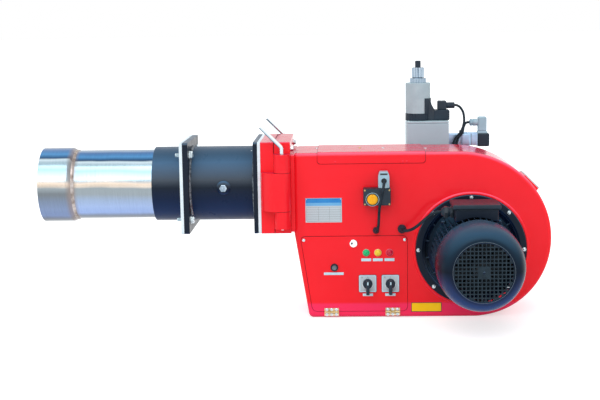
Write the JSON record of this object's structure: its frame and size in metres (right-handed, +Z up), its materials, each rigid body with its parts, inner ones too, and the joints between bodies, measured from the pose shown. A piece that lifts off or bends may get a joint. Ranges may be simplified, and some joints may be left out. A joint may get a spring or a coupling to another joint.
{
  "type": "industrial gas burner",
  "caption": "Industrial gas burner: stainless flame tube, red swing-open fan casing with a control door, side-mounted finned motor and a gas valve behind.",
  "frame": {"origin": "on the flame tube's axis, at the face of the boiler gasket that meets the boiler", "axes": "+X runs along the flame tube's axis from the flame towards the fan, +Z is up, and -Y is the side with the motor and the control door"},
  "size_m": [1.3497, 0.612, 0.666],
  "materials": {
    "red_paint": "gloss",
    "black_paint": "satin",
    "black_plastic": "matte",
    "stainless": "polished",
    "zinc": "zinc plated",
    "gasket": "matte",
    "brass": "satin",
    "valve_grey": "satin",
    "die_cast": "satin",
    "plug_grey": "matte",
    "dial_yellow": "gloss",
    "lamp_green": "gloss",
    "lamp_yellow": "gloss",
    "lamp_red": "gloss",
    "ceramic": "glazed",
    "cable": "satin"
  },
  "bodies": {
    "burner_head": {"flame_nozzle": "stainless", "flame_tube": "stainless", "head_sleeve": "black_paint", "boiler_flange": "black_paint", "boiler_gasket": "gasket", "flange_bolt_1": "zinc", "flange_bolt_2": "zinc", "flange_bolt_3": "zinc", "flange_bolt_4": "zinc", "test_plug": "zinc", "hinge_flange": "black_paint", "hinge_gasket": "gasket", "hinge_frame": "red_paint", "gas_lance": "stainless", "diffuser_disc": "stainless", "ignition_electrode": "ceramic"},
    "fan_casing": {"swing_frame": "red_paint", "volute_casing": "red_paint", "inspection_lid": "red_paint", "motor_plate": "black_paint", "motor_body": "black_paint", "terminal_box": "black_plastic", "fan_cowl": "black_paint", "motor_cable_gland": "black_plastic", "switch_cable_gland": "black_plastic", "motor_cable": "cable", "switch_cable": "cable", "pressure_switch": "black_plastic", "switch_plug": "plug_grey", "control_board": "plug_grey", "case_leaf_1": "brass", "case_leaf_2": "brass", "gas_manifold": "black_paint", "gas_elbow": "black_paint", "valve_block": "valve_grey", "solenoid_coil": "valve_grey", "valve_connector": "black_plastic", "pilot_valve": "die_cast", "valve_cable": "cable", "pilot_cable": "cable", "air_intake": "black_paint", "air_servomotor": "black_plastic"},
    "front_pin": {"hinge_pin_front": "zinc"},
    "rear_pin": {"hinge_pin_rear": "zinc"},
    "rotor": {"motor_shaft": "zinc", "fan_impeller": "zinc", "cooling_fan": "black_plastic"},
    "control_door": {"panel_door": "red_paint", "door_leaf_1": "brass", "door_leaf_2": "brass", "lamp_green": "lamp_green", "lamp_yellow": "lamp_yellow", "lamp_red": "lamp_red"},
    "lock": {"door_lock": "zinc"},
    "left_switch": {"switch_knob_1": "black_plastic"},
    "right_switch": {"switch_knob_2": "black_plastic"},
    "reset": {"reset_button": "plug_grey"},
    "dial": {"pressure_dial": "dial_yellow"},
    "adjuster": {"flow_adjuster": "die_cast"},
    "damper": {"air_damper": "zinc"}
  },
  "joints": [
    {"name": "casing_swing", "type": "hinge", "parent": "burner_head", "child": "fan_casing", "pos_m": [0.268, -0.144, 0], "axis": [0, 0, -1], "range_deg": [0, 90]},
    {"name": "front_pin_lift", "type": "slide", "parent": "burner_head", "child": "front_pin", "axis": [0, 0, 1], "range_m": [0, 0.2]},
    {"name": "rear_pin_lift", "type": "slide", "parent": "burner_head", "child": "rear_pin", "axis": [0, 0, 1], "range_m": [0, 0.2]},
    {"name": "rotor_spin", "type": "hinge", "parent": "fan_casing", "child": "rotor", "pos_m": [0.758, 0, -0.1696], "axis": [0, 1, 0], "continuous": true},
    {"name": "door_swing", "type": "hinge", "parent": "fan_casing", "child": "control_door", "pos_m": [0.4521, -0.1047, -0.335], "axis": [1, 0, 0], "range_deg": [0, 150]},
    {"name": "lock_turn", "type": "hinge", "parent": "control_door", "child": "lock", "pos_m": [0.4507, -0.1018, -0.1509], "axis": [0, -1, 0], "range_deg": [0, 90]},
    {"name": "left_switch_turn", "type": "hinge", "parent": "control_door", "child": "left_switch", "pos_m": [0.487, -0.1018, -0.2585], "axis": [0, 1, 0], "range_deg": [-90, 0]},
    {"name": "right_switch_turn", "type": "hinge", "parent": "control_door", "child": "right_switch", "pos_m": [0.5468, -0.1018, -0.2585], "axis": [0, 1, 0], "range_deg": [-90, 0]},
    {"name": "reset_push", "type": "slide", "parent": "control_door", "child": "reset", "axis": [0, 1, 0], "range_m": [0, 0.003], "stiffness_N_per_m": 200, "springref_m": -0.002},
    {"name": "dial_turn", "type": "hinge", "parent": "fan_casing", "child": "dial", "pos_m": [0.5004, -0.137, -0.0299], "axis": [0, 1, 0], "range_deg": [-135, 135]},
    {"name": "adjuster_turn", "type": "hinge", "parent": "fan_casing", "child": "adjuster", "pos_m": [0.6358, 0.158, 0.2675], "axis": [0, 0, 1], "range_deg": [0, 270]},
    {"name": "damper_turn", "type": "hinge", "parent": "fan_casing", "child": "damper", "pos_m": [0.758, 0.14405, -0.262], "axis": [1, 0, 0], "range_deg": [0, 90]}
  ]
}
